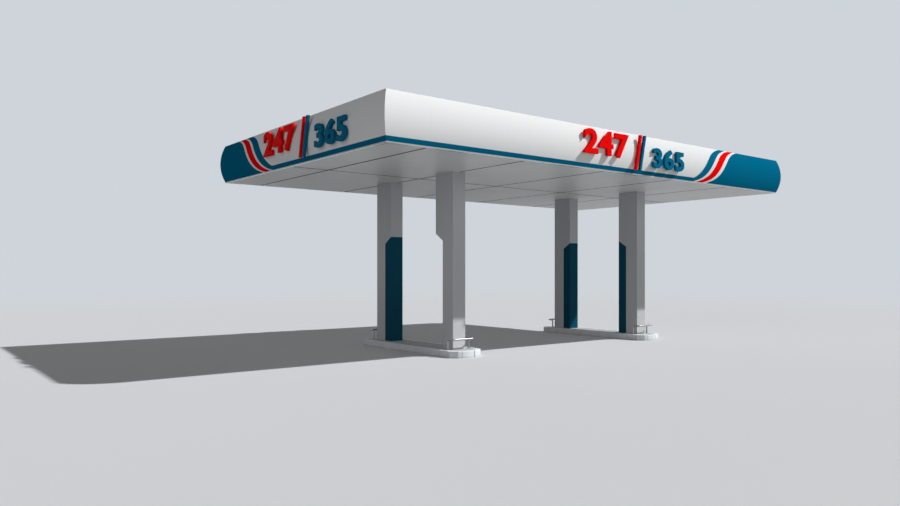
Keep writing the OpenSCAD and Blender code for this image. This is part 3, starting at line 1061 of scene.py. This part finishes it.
@dataclass
class Island:
    """One kerbed island: separate kerb stones with mortar between them, and the concrete between.

    Attributes:
        side: left or right.
        finishes: The materials of the stones, the mortar and the deck.
        open_joint: Width of the joint right of the middle of the front end, which has lost its mortar.
        corner: Width that is cut off each corner, at 45 degrees.
        bow: Radius of a bowed end.
        stone: Length that a stone comes near to.
        first_joint: Place of a joint on the front end, to the right of its middle.
        joint: Width of the other joints.
        round_edge: Radius of the stones' outer top edge.
        inner_edge: Width of the chamfer of their inner top edge.
        set_back: Most that a stone lies behind the outline.
        set_down: Most that it lies below the kerb's top.
        sunk: How far the mortar lies behind the stones.
        deep: How far it lies behind them in the open joint.
        mortar_back: How far its back lies in front of theirs.
        step: Length of the pieces of an arc.
        deck_gap: Gap between the kerb and the deck.
        arris: Edges of the stones that are sharper than this, in degrees, show as an arris.
    """

    side: str
    finishes: dict[str, Material]
    open_joint: float
    corner: float = 0.17
    bow: float = 0.95
    stone: float = 0.39
    first_joint: float = -0.26
    joint: float = 0.01
    round_edge: float = 0.015
    inner_edge: float = 0.004
    set_back: float = 0.0025
    set_down: float = 0.002
    sunk: float = 0.008
    deep: float = 0.05
    mortar_back: float = 0.002
    step: float = 0.03
    deck_gap: float = 0.0005
    arris: float = 14.0

    ROUND_STEPS: ClassVar[int] = 8
    # A straight face takes pieces this many times longer than an arc's
    STRAIGHT: ClassVar[int] = 4
    # A joint that is wider than this many others has lost its mortar
    OPEN: ClassVar[float] = 1.5

    def plan(self) -> Outline:
        """Draws the outline of the kerb.

        Returns:
            Points once round, each with the vector that offsets the outline there.
        """
        low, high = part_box(f"island_{self.side}_kerb")
        middle = ((low + high) / 2).to_2d()
        half_x, half_y = (high.x - low.x) / 2, (high.y - low.y) / 2
        bow_y, cut_x = half_y - self.bow, half_x - self.corner
        rise = math.sqrt(self.bow ** 2 - cut_x ** 2)
        start, end = Vector((half_x, bow_y + rise - self.corner)), Vector((cut_x, bow_y + rise))
        bow = self.arc(Vector((0.0, bow_y)), math.atan2(rise, cut_x), math.pi / 2)
        right, slant = Vector((1.0, 0.0)), Vector((1.0, 1.0)).normalized()
        quarter = [(start, self.mitre(right, slant)), *self.straight(start, end, slant),
                   (end, self.mitre(slant, bow[0][1])), *bow[1:]]
        top = quarter + [(Vector((-p.x, p.y)), Vector((-n.x, n.y))) for p, n in reversed(quarter[:-1])]
        bottom = [(-p, -n) for p, n in top]
        loop = self.straight(bottom[-1][0], top[0][0], right) + top
        loop += self.straight(top[-1][0], bottom[0][0], -right) + bottom
        return [(p + middle, n) for p, n in loop]

    @staticmethod
    def mitre(first: Vector, second: Vector) -> Vector:
        """Returns the vector that offsets the arris between two faces, given their directions."""
        return (first + second) / (1.0 + first.dot(second))

    def arc(self, centre: Vector, start: float, end: float) -> Outline:
        """Draws the arc of a bowed end.

        Args:
            centre: Its middle.
            start: The angle at its start.
            end: The angle at its end.

        Returns:
            Its points with their outward directions.
        """
        count = max(2, round(self.bow * (end - start) / self.step))
        angles = [start + (end - start) * k / count for k in range(count + 1)]
        ways = [Vector((math.cos(a), math.sin(a))) for a in angles]
        return [(centre + self.bow * way, way) for way in ways]

    def straight(self, start: Vector, end: Vector, outward: Vector) -> Outline:
        """Returns points between two others on a straight face, without its ends, with its direction."""
        count = max(2, round((end - start).length / (self.STRAIGHT * self.step)))
        return [(start.lerp(end, k / count), outward) for k in range(1, count)]

    def section(self, top: float, wall: float, inset: float) -> list[tuple[float, float]]:
        """Draws the section of a kerb.

        Args:
            top: Height of the kerb.
            wall: Distance of its back from the outline.
            inset: Distance of its face from the outline.

        Returns:
            Points as distance from the outline and height.
        """
        edge, chamfer = self.round_edge, self.inner_edge
        angles = [math.pi / 2 * k / self.ROUND_STEPS for k in range(1, self.ROUND_STEPS)]
        turn = [(inset + edge * (1 - math.cos(a)), top - edge * (1 - math.sin(a))) for a in angles]
        return [(wall, 0.0), (inset, 0.0), (inset, top - edge), *turn,
                (inset + edge, top), (wall - chamfer, top), (wall, top - chamfer)]

    def build(self) -> None:
        """Builds the kerb and dresses the deck."""
        kerb, deck = f"island_{self.side}_kerb", f"island_{self.side}_deck"
        low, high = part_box(kerb)
        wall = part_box(deck)[0].x - low.x - self.deck_gap
        loop = Loop(self.plan())
        stones = Mesh(f"kerb_stones_{self.side}")
        chance = random.Random(self.side)
        count = 2 * round(loop.whole / self.stone / 2)
        pitch = loop.whole / count
        first = min((p.y, s) for (p, _), s in zip(loop.outline, loop.ways))[1] + self.first_joint
        gaps = [self.joint, self.open_joint, *[self.joint] * (count - 1)]
        spans = []
        for number in range(count):
            start = first + number * pitch + gaps[number] / 2
            end = first + (number + 1) * pitch - gaps[number + 1] / 2
            spans.append((start, end))
            inset, drop = chance.uniform(0.0, self.set_back), chance.uniform(0.0, self.set_down)
            stones.sweep(loop.rings(start, end, self.section(high.z - drop, wall, inset)))
        # Mortar fills each joint between the stones
        for number in range(count):
            start, end = spans[number - 1][1], spans[number][0]
            start -= loop.whole if number == 0 else 0.0
            sunk = self.deep if end - start > self.joint * self.OPEN else self.sunk
            section = self.section(high.z - sunk, wall - self.mortar_back, sunk)
            stones.sweep(loop.rings(start - self.sunk, end + self.sunk, section), 1)
        piece = stones.finish([self.finishes["kerb"], self.finishes["mortar"]], "kerb_concrete", self.arris)
        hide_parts(kerb)
        dress([deck], self.finishes["deck"])


@dataclass
class Guards:
    """The bent tube guards: their finish and the bolts of their foot plates.

    Attributes:
        finish: The material of the tubes.
        fixings: The maker of bolts.
        plate: Height of a foot plate.
        bolt_circle: Diameter of the circle on which its bolts stand.
    """

    finish: Material
    fixings: Fixings
    plate: float = 0.008
    bolt_circle: float = 0.078

    def build(self) -> None:
        """Builds the bolts and dresses the tubes."""
        names = [f"guard_{corner}" for corner in CORNERS]
        dress(names, self.finish)
        bolt = Fixing(radius=0.0065, height=0.006, washer=0.0095, washer_height=0.002, sides=6,
                      material=self.finish)
        grids = []
        side = self.bolt_circle / math.sqrt(2)
        for name in names:
            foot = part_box(name)[0].z
            lowest = [point for point in points(name) if point.z < foot + self.plate / 2]
            across = stations((point.y for point in lowest), reach=0.2)[0]
            for x in stations((point.x for point in lowest), reach=0.2):
                place = facing(Vector((x, across, foot + self.plate)), UP, RIGHT)
                grids.append(Grid(2, 2, side, side, place))
        self.fixings.piece("guard_bolts", bolt, grids, "guard_tube")


@dataclass
class Columns:
    """The four clad columns: finishes and the rivets along the edges of their sheets.

    Attributes:
        cladding: The material of the grey sheets.
        insert: The material of the coloured inserts.
        steel: The material of the posts inside.
        fixings: The maker of rivets.
        margin: Distance from a sheet's edge to its rivets.
        pitch: Distance that two rivets of a row come near to.
    """

    cladding: Material
    insert: Material
    steel: Material
    fixings: Fixings
    margin: float = 0.022
    pitch: float = 0.45

    def build(self) -> None:
        """Builds the rivets and dresses the columns."""
        for kind, material in (("cladding", self.cladding), ("insert", self.insert), ("post", self.steel)):
            names = [f"{kind}_{corner}" for corner in CORNERS]
            dress([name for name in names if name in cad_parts], material)
        rivet = Fixing(radius=0.0035, height=0.0016, washer=0.0055, washer_height=0.0006, sides=8,
                       material=self.cladding)
        grids = []
        for corner in CORNERS:
            low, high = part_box(f"cladding_{corner}")
            y = low.y + self.margin if "front" in corner else high.y - self.margin
            tall = high.z - low.z - 2 * self.margin
            rows = round(tall / self.pitch) + 1
            for x, outward in ((low.x, -RIGHT), (high.x, RIGHT)):
                place = facing(Vector((x, y, (low.z + high.z) / 2)), outward, UP)
                grids.append(Grid(rows, 1, tall, 0.0, place))
        self.fixings.piece("cladding_rivets", rivet, grids, "column_grey")


@dataclass
class Soffit:
    """The soffit trays and the trim round them.

    Attributes:
        fixings: The maker of screws.
        beside: Distance of the screws from the joint along the middle of the roof.
    """

    fixings: Fixings
    beside: float = 0.015

    def build(self) -> None:
        """Builds the screws in the middle joint and dresses the trays and the trim."""
        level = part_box("soffit_strip")[0].z
        # The trays' turned edges in the joints are painted near-black as shade
        sheet = TraySheet("soffit_sheet", Tones.SOFFIT, gloss=0.4, stains=0.08, streaks=0.0, wave=0.001,
                          mirror=0.3, level=level).build()
        # The drip trim's vertical face is painted a darker grey as shade
        trim = TraySheet("drip_trim", Tones.TRIM, gloss=0.22, stains=0.05, streaks=0.0, wave=0.0003,
                         mirror=1.0, level=level, turned=Tones.DRIP).build()
        bays = [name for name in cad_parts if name.startswith("soffit_bay")]
        dress([*bays, "soffit_strip"], sheet)
        dress(["drip_trim"], trim)
        screw = Fixing(radius=0.004, height=0.0025, washer=0.006, washer_height=0.001, sides=8,
                       material=sheet)
        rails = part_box("soffit_rails")[0].z
        flange = max(point.z for point in points("soffit_bay_3") if point.z < rails - NEAR)
        grids = [Grid(1, 2, 0.0, 2 * self.beside, facing(Vector((x, 0.0, flange)), -UP, RIGHT))
                 for x in stations((point.x for point in points("soffit_rails")), reach=0.1)[1:-1]]
        self.fixings.piece("soffit_screws", screw, grids, "soffit_sheet")


@dataclass
class Fascia:
    """The curved fascias with their paint, and the cap over them with its rivets.

    Attributes:
        trim: The material of the cap.
        fixings: The maker of rivets.
        long_stripes: The stripes of the long sides.
        short_stripes: The stripes of the short sides.
        rivet_pitch: Distance that two rivets of the cap come near to.
        rivet_margin: Distance from an edge of the cap to its rivets.
        cap_width: Width of the cap.
    """

    trim: Material
    fixings: Fixings
    long_stripes: Stripes = Stripes(3.346, (0.173, 0.508, 0.673, 1.021))
    short_stripes: Stripes = Stripes(1.887, (0.134, 0.471, 0.603, 0.987))
    rivet_pitch: float = 0.3
    rivet_margin: float = 0.025
    cap_width: float = 0.15

    @staticmethod
    def arc(side: Side) -> Arc:
        """Measures the curve of a fascia.

        Args:
            side: The side of the roof.

        Returns:
            The curve.
        """
        low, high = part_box(f"fascia_{side.label}")
        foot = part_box("drip_trim")[1].dot(Vector(abs(part) for part in side.outward))
        outermost = max(low.dot(side.outward), high.dot(side.outward))
        return Arc(foot, low.z, high.z, outermost - foot)

    def build(self) -> None:
        """Paints the four fascias, dresses the cap and builds its rivets."""
        low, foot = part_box("drip_trim")
        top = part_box("cap_flashing")[1].z
        grids = []
        for side in Side:
            short = side in (Side.LEFT, Side.RIGHT)
            length = 2 * (foot.y if short else foot.x)
            stripes = self.short_stripes if short else self.long_stripes
            paint = BandedPaint(f"fascia_paint_{side.label}", Tones.WHITE, gloss=0.4, stains=0.01,
                                streaks=0.015, wave=0.0012, mirror=0.0, side=side, stripes=stripes,
                                arc=self.arc(side), length=length, soffit=low.z)
            dress([f"fascia_{side.label}"], paint.build())
            across = (foot.x if short else foot.y) - self.cap_width / 2
            span = length - 2 * self.cap_width
            place = facing(side.outward * across + UP * top, UP, side.along)
            grids.append(Grid(round(span / self.rivet_pitch) + 1, 2, span,
                              self.cap_width - 2 * self.rivet_margin, place))
        dress(["cap_flashing"], self.trim)
        rivet = Fixing(radius=0.0045, height=0.002, washer=0.0075, washer_height=0.001, sides=8,
                       material=self.trim)
        self.fixings.piece("cap_rivets", rivet, grids, "pale_trim")


@dataclass
class Roof:
    """The ribbed roof sheet, its gutter and the steel below it.

    Attributes:
        sheet: The material of the roof sheet.
        zinc: The material of the purlins, rails and frames.
        steel: The material of the girders and beams.
        pipe: The material of the rainwater pipes.
        fixings: The maker of screws.
        sheet_thickness: Thickness of the roof sheet.
    """

    sheet: Material
    zinc: Material
    steel: Material
    pipe: Material
    fixings: Fixings
    sheet_thickness: float = 0.0015

    def build(self) -> None:
        """Builds the screws that hold the sheet to the purlins, and dresses the roof."""
        dress(["deck_front", "deck_back", "gutter"], self.sheet)
        dress(["purlins", "soffit_rails", *[f"frame_{side.label}" for side in Side]], self.zinc)
        dress(["girder_front", "girder_back", "cross_beams"], self.steel)
        dress(["downpipe_left", "downpipe_right"], self.pipe)
        low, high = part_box("deck_back")
        ribs = stations((point.x for point in points("deck_back") if point.z > high.z - NEAR), reach=0.1)
        pitch = (ribs[-1] - ribs[0]) / (len(ribs) - 1)
        middle = (ribs[0] + ribs[-1]) / 2
        screw = Fixing(radius=0.0055, height=0.006, washer=0.011, washer_height=0.0025, sides=6,
                       material=self.zinc)
        grids = [Grid(len(ribs) - 1, 1, pitch * (len(ribs) - 2), 0.0,
                      facing(Vector((middle, y, low.z + self.sheet_thickness)), UP, RIGHT))
                 for y in stations((point.y for point in points("purlins")), reach=0.1)]
        self.fixings.piece("roof_screws", screw, grids, "galvanised_steel")


@dataclass(frozen=True)
class Mark:
    """One part of a sign: numerals, or a slanted bar where it has no text.

    Attributes:
        text: The numerals.
        paint: Their material.
        centre: Place of their middle along the side.
        base: Height of their feet above the soffit.
        tall: Their height.
    """

    text: str
    paint: Material
    centre: float
    base: float
    tall: float


@dataclass
class Sign:
    """Plain raised numerals and slanted bars on one side, held off the curved sheet by pins.

    Attributes:
        side: The side of the roof.
        shift: Place of the sign's middle along the side.
        marks: The numerals and bars.
        pin_paint: The material of the pins.
        depth: How deep a mark is.
        gap: Distance between the marks and the sheet where it bulges most.
        stretch: How much wider than in the plain font the numerals are.
        spacing: How much further apart than in the plain font they stand.
        bold: How much thicker than in the plain font their strokes are, as a share of their size.
        hair: Longest edge of the plain font that closes to one point.
        chamfer: Width of the chamfer round the front of a mark.
        bar_width: Width of a slanted bar.
        bar_slant: How far its head stands to the right of its foot, as a share of its height.
        pin_radius: Radius of a pin.
        pin_heights: Where the pins stand, as shares of a mark's height.
        pin_smooth: Edges of a pin flatter than this, in degrees, are shaded round.
    """

    side: Side
    shift: float
    marks: Sequence[Mark]
    pin_paint: Material
    depth: float = 0.07
    gap: float = 0.012
    stretch: float = 1.28
    spacing: float = 1.12
    bold: float = 0.031
    hair: float = 0.004
    chamfer: float = 0.004
    bar_width: float = 0.085
    bar_slant: float = 0.22
    pin_radius: float = 0.008
    pin_heights: tuple[float, float] = (0.14, 0.8)
    pin_smooth: float = 40.0

    CURVE_STEPS: ClassVar[int] = 8
    SCAN_STEPS: ClassVar[int] = 60
    STROKES: ClassVar[int] = 50

    def build(self) -> None:
        """Builds the marks and their pins."""
        arc = Fascia.arc(self.side)
        outward, along = self.side.outward, self.side.along
        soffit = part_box("drip_trim")[0].z
        back = arc.foot + arc.bulge + self.gap
        pins = Mesh(f"sign_pins_{self.side.label}")
        for number, mark in enumerate(self.marks):
            mesh = self.numerals(mark) if mark.text else self.bar(mark)
            middle = outward * (back + self.depth / 2) + along * (self.shift + mark.centre)
            place = facing(middle + UP * (soffit + mark.base), outward, along)
            spots = self.pin_spots(mesh)
            mesh.transform(place)
            mesh.materials.append(mark.paint)
            settle(f"sign_{self.side.label}_{mark.text or 'bar'}_{number}", mesh, "fascia_paint")
            for spot in spots:
                head = place @ Vector((spot.x, spot.y, self.chamfer - self.depth / 2))
                sheet = arc.reach(head.z) - head.dot(outward)
                pins.rod(head, head + outward * (sheet - self.chamfer / 2), self.pin_radius)
        pins.finish([self.pin_paint], "galvanised_steel", self.pin_smooth)

    def numerals(self, mark: Mark) -> bpy.types.Mesh:
        """Makes the numerals of a mark, with the middle of their foot at the origin and facing +Z.

        Args:
            mark: The mark.

        Returns:
            The mesh.
        """
        shape = self.outline(mark.text)
        shape.offset = self.bold
        shape.extrude = self.depth / 2 - self.chamfer
        shape.bevel_depth = self.chamfer
        shape.bevel_resolution = 1
        mesh = baked(linked("numerals", shape))
        corners = [vertex.co for vertex in mesh.vertices]
        left, right = min(c.x for c in corners), max(c.x for c in corners)
        foot, head = min(c.y for c in corners), max(c.y for c in corners)
        scale = mark.tall / (head - foot)
        mesh.transform(Matrix.Translation((-(left + right) / 2, -foot, 0.0)))
        mesh.transform(Matrix.Diagonal((scale * self.stretch, scale, 1.0, 1.0)))
        return self.closed(mesh)

    def outline(self, numerals: str) -> bpy.types.Curve:
        """Turns numerals of the plain font into curves.

        The font cuts the tip of the hole in a 4 off by a hair, where a bolder stroke would cross itself, so a
        straight edge that is shorter than a hair closes to one point.

        Args:
            numerals: The numerals.

        Returns:
            The curves.
        """
        text = bpy.data.curves.new("numerals", "FONT")
        text.body = numerals
        text.space_character = self.spacing
        text.resolution_u = self.CURVE_STEPS
        holder = linked("numerals", text)
        graph = bpy.context.evaluated_depsgraph_get()
        shape = bpy.data.curves.new("numerals", "CURVE")
        shape.dimensions = "2D"
        shape.fill_mode = "BOTH"
        for spline in holder.evaluated_get(graph).to_curve(graph).splines:
            corners = list(spline.bezier_points)
            kept = [c for number, c in enumerate(corners)
                    if (c.co - corners[number - 1].co).length > self.hair]
            ring = shape.splines.new("BEZIER")
            ring.bezier_points.add(len(kept) - 1)
            ring.use_cyclic_u = True
            ring.resolution_u = self.CURVE_STEPS
            for trait in ("co", "handle_left", "handle_right", "handle_left_type", "handle_right_type"):
                for point, corner in zip(ring.bezier_points, kept):
                    setattr(point, trait, getattr(corner, trait))
        bpy.data.objects.remove(holder)
        return shape

    def bar(self, mark: Mark) -> bpy.types.Mesh:
        """Makes the slanted bar of a mark, with the middle of its foot at the origin and facing +Z.

        Args:
            mark: The mark.

        Returns:
            The mesh.
        """
        front, lean = self.depth / 2, self.bar_slant * mark.tall / 2
        rings = []
        for height, inset in ((-front, 0.0), (front - self.chamfer, 0.0), (front, self.chamfer)):
            across, head = self.bar_width / 2 - inset, mark.tall - inset
            corners = ((-across - lean, inset), (across - lean, inset), (across + lean, head),
                       (lean - across, head))
            rings.append([Vector((*corner, height)) for corner in corners])
        body = Mesh("bar")
        body.sweep(rings)
        return self.closed(body.plain())

    @staticmethod
    def closed(mesh: bpy.types.Mesh) -> bpy.types.Mesh:
        """Merges the doubled points of a mesh and points its faces outwards.

        Args:
            mesh: The mesh.

        Returns:
            The same mesh.
        """
        work = bmesh.new()
        work.from_mesh(mesh)
        bmesh.ops.remove_doubles(work, verts=work.verts, dist=0.0001)
        bmesh.ops.recalc_face_normals(work, faces=work.faces)
        work.to_mesh(mesh)
        work.free()
        return mesh

    def pin_spots(self, mesh: bpy.types.Mesh) -> list[Vector]:
        """Finds places behind a mark where a pin is hidden, near its left and right, low and high.

        Args:
            mesh: The mark, facing +Z.

        Returns:
            The places.
        """
        corners = [vertex.co for vertex in mesh.vertices]
        tree = BVHTree.FromPolygons(corners, [tuple(face.vertices) for face in mesh.polygons])
        left, right = min(c.x for c in corners), max(c.x for c in corners)
        head = max(c.y for c in corners)
        scan = [left + (right - left) * step / self.SCAN_STEPS for step in range(self.SCAN_STEPS + 1)]
        spots = []
        for height in (share * head for share in self.pin_heights):
            hits = [x for x in scan if tree.ray_cast(Vector((x, height, 1.0)), Vector((0, 0, -1)))[0]]
            strokes = stations(hits, reach=(right - left) / self.STROKES)
            spots += [Vector((x, height)) for x in {strokes[0], strokes[-1]}]
        return spots


class Studio:
    """The floor, the light and the camera."""

    FLOOR = tone(204, 206, 208)
    BOUNCE = tone(145, 146, 147)
    BACKDROP = tone(206, 212, 218)
    FLOOR_SIZE = 900.0
    FLOOR_ROUGHNESS = 0.9
    FADE_START = 22.0
    FADE_END = 260.0
    # Each lamp's direction from the object, its strength and how many degrees wide it looks
    LAMPS: ClassVar[dict[str, tuple[Vector, float, float]]] = {
        "key": (Vector((0.60, -0.435, 0.672)), 3.75, 1.0),
        "front_fill": (Vector((0.05, -1.0, 0.05)), 0.55, 40.0),
        "left_fill": (Vector((-1.0, -0.15, 0.25)), 0.35, 40.0),
        "back_fill": (Vector((0.2, 1.0, 0.3)), 0.35, 40.0),
    }
    SKY_STRENGTH = 0.08
    CAMERA = Vector((-16.031, -16.9105, 2.264))
    HEADING = 0.666
    LENS = 28.912
    SENSOR = 36.0
    RISE = 0.0202
    SIGHT = 1000.0

    def build(self) -> None:
        """Builds the floor, the light and the camera."""
        self.floor()
        for name, (towards, strength, angle) in self.LAMPS.items():
            self.lamp(name, towards, strength, angle)
        self.sky()
        self.camera()
        bpy.context.scene.view_settings.view_transform = "Standard"

    def floor(self) -> None:
        """Makes a pale floor that fades into the backdrop, and throws up less light than it shows."""
        material = bpy.data.materials.new("floor")
        material.use_nodes = True
        graph = Graph(material.node_tree)
        away = graph.add("ShaderNodeVectorMath", {0: graph.place()}, operation="LENGTH").outputs["Value"]
        far = graph.spread(graph.math("DIVIDE", 1.0, away), 1 / self.FADE_START, 1 / self.FADE_END)
        far.node.interpolation_type = "SMOOTHSTEP"
        pale, dark = (graph.add("ShaderNodeBsdfPrincipled", {"Base Color": color,
                                                             "Roughness": self.FLOOR_ROUGHNESS})
                      for color in (self.FLOOR, self.BOUNCE))
        glow = graph.add("ShaderNodeEmission", {"Color": self.BACKDROP, "Strength": 1.0})
        mixed = graph.add("ShaderNodeMixShader", {0: far, 1: pale.outputs[0], 2: glow.outputs[0]})
        self.end(graph, "ShaderNodeOutputMaterial", dark, mixed)
        half = self.FLOOR_SIZE / 2
        mesh = bpy.data.meshes.new("floor")
        corners = [(-half, -half, 0), (half, -half, 0), (half, half, 0), (-half, half, 0)]
        mesh.from_pydata(corners, [], [(0, 1, 2, 3)])
        mesh.materials.append(material)
        floor = linked("floor", mesh)

    @staticmethod
    def end(graph: Graph, kind: str, light: bpy.types.Node, view: bpy.types.Node) -> None:
        """Ends a tree with one shader for the light that it gives and another for what is seen.

        Args:
            graph: The tree's graph.
            kind: The type of its output node.
            light: What falls on other surfaces.
            view: What the camera sees, also in gloss and through glass.
        """
        path = graph.add("ShaderNodeLightPath").outputs
        seen = graph.math("ADD", path["Is Camera Ray"], path["Is Glossy Ray"])
        seen = graph.math("ADD", seen, path["Is Transmission Ray"], clamp=True)
        inputs = {0: seen, 1: light.outputs[0], 2: view.outputs[0]}
        graph.end(kind, graph.add("ShaderNodeMixShader", inputs))

    @staticmethod
    def lamp(name: str, towards: Vector, strength: float, angle: float) -> None:
        """Makes a lamp far away.

        Args:
            name: Its name.
            towards: The direction from the object to it.
            strength: Its strength.
            angle: How wide it looks from the object, in degrees.
        """
        light = bpy.data.lights.new(name, "SUN")
        light.energy = strength
        light.angle = math.radians(angle)
        lamp = linked(name, light)
        lamp.rotation_mode = "QUATERNION"
        lamp.rotation_quaternion = towards.to_track_quat("Z", "Y")

    def sky(self) -> None:
        """Makes a plain world: soft light on the object, and a pale backdrop in view."""
        world = bpy.data.worlds.new("studio")
        world.use_nodes = True
        bpy.context.scene.world = world
        graph = Graph(world.node_tree)
        soft, pale = (graph.add("ShaderNodeBackground", {"Color": color, "Strength": strength})
                      for color, strength in (((1.0, 1.0, 1.0), self.SKY_STRENGTH), (self.BACKDROP, 1.0)))
        self.end(graph, "ShaderNodeOutputWorld", soft, pale)

    def camera(self) -> None:
        """Makes a level camera at eye height, in front of the left corner."""
        data = bpy.data.cameras.new("camera")
        data.sensor_width = self.SENSOR
        data.lens = self.LENS
        data.shift_y = self.RISE
        data.clip_end = self.SIGHT
        camera = linked("camera", data)
        camera.location = self.CAMERA
        camera.rotation_euler = (math.pi / 2, 0.0, -self.HEADING)
        bpy.context.scene.camera = camera


def main() -> None:
    """Builds the scene, sub-assembly by sub-assembly."""
    logging.basicConfig(level=logging.INFO, format="%(name)s %(message)s")
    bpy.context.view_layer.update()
    Studio().build()
    zinc = Galvanised("zinc", Tones.ZINC).build()
    tube = Galvanised("guard_tube", Tones.TUBE, crystal=0.004, shine=0.92, gloss=0.33).build()
    primer, column, teal, trim, pipe, red, blue = (
        SheetPaint(name, color, *numbers).build() for name, color, *numbers in (
            # The gloss, the stains, the streaks, the wave and, where it isn't plain, the mirror
            ("primer", Tones.PRIMER, 0.6, 0.2, 0.1, 0.0),
            ("column_sheet", Tones.COLUMN, 0.42, 0.04, 0.05, 0.001, 0.1),
            ("insert_sheet", Tones.INSERT, 0.4, 0.02, 0.03, 0.001, 0.01),
            ("trim_sheet", Tones.TRIM, 0.35, 0.08, 0.08, 0.0003),
            ("pipe_grey", Tones.PIPE, 0.5, 0.1, 0.05, 0.0),
            ("sign_red", Tones.RED, 0.4, 0.01, 0.02, 0.0, 0.01),
            ("sign_teal", Tones.TEAL, 0.4, 0.01, 0.02, 0.0, 0.01)))
    roof = RoofSheet("roof_sheet", Tones.ROOF, gloss=0.5, stains=0.2, streaks=0.1, wave=0.0008).build()
    # The kerb's blue tint is painted sky light
    stone = {"kerb": Concrete("kerb_concrete", Tones.KERB, stains=0.06, speckle=0.12).build(),
             "deck": Concrete("deck_concrete", Tones.DECK, grain=0.004, rough=0.0008, stains=0.2,
                              dirt=0.0).build(),
             "mortar": Concrete("mortar", Tones.MORTAR, grain=0.003, rough=0.001, stains=0.2,
                                dirt=0.05).build()}
    fixings = Fixings()
    for side, open_joint in (("left", 0.035), ("right", 0.01)):
        Island(side, stone, open_joint).build()
    Guards(tube, fixings).build()
    Columns(column, teal, primer, fixings).build()
    Soffit(fixings).build()
    Fascia(trim, fixings).build()
    Roof(roof, zinc, primer, pipe, fixings).build()
    marks = (Mark("247", red, centre=-1.14, base=0.35, tall=0.65),
             Mark("", red, centre=0.18, base=0.1, tall=0.96),
             Mark("", blue, centre=0.36, base=0.1, tall=0.96),
             Mark("365", blue, centre=1.56, base=0.22, tall=0.57))
    for side, shift in ((Side.FRONT, 0.0), (Side.BACK, 0.0), (Side.LEFT, 0.8), (Side.RIGHT, 0.8)):
        Sign(side, shift, marks, zinc).build()


if __name__ == "__main__":
    main()
